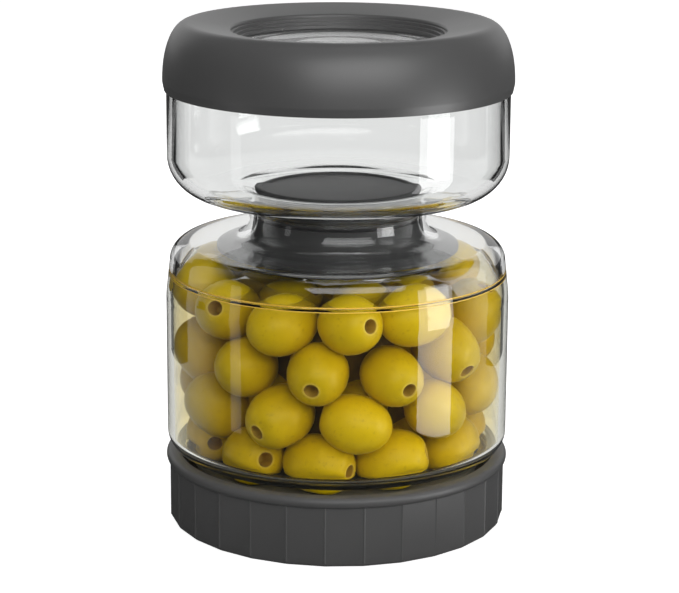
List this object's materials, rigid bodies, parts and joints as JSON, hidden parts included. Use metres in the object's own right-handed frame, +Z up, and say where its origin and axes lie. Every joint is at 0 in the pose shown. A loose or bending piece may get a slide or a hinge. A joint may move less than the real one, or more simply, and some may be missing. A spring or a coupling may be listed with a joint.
{
  "type": "hourglass pickle jar with olives",
  "caption": "Hourglass glass jar of pitted green olives in brine, with a grey windowed lid, a stopper in the waist and a faceted grey base cap.",
  "frame": {"origin": "middle of the flat underside that the jar stands on", "axes": "+Z up along the jar's axis, from the base cap to the lid; -Y towards the viewer of the picture"},
  "size_m": [0.1012, 0.1012, 0.147],
  "materials": {
    "clear_glass": "clear polished",
    "grey_cap": "fine matte",
    "grey_lid": "soft matte",
    "window": "clear moulded",
    "grey_stopper": "soft satin",
    "olive_flesh": "wet, cured fruit skin",
    "brine": "clear yellowish liquid"
  },
  "bodies": {
    "root": {"glass_jar": "clear_glass", "base_cap": "grey_cap", "lid_ring": "grey_lid", "lid_window": "window", "stopper": "grey_stopper", "olives": "olive_flesh", "brine": "brine"}
  },
  "joints": []
}
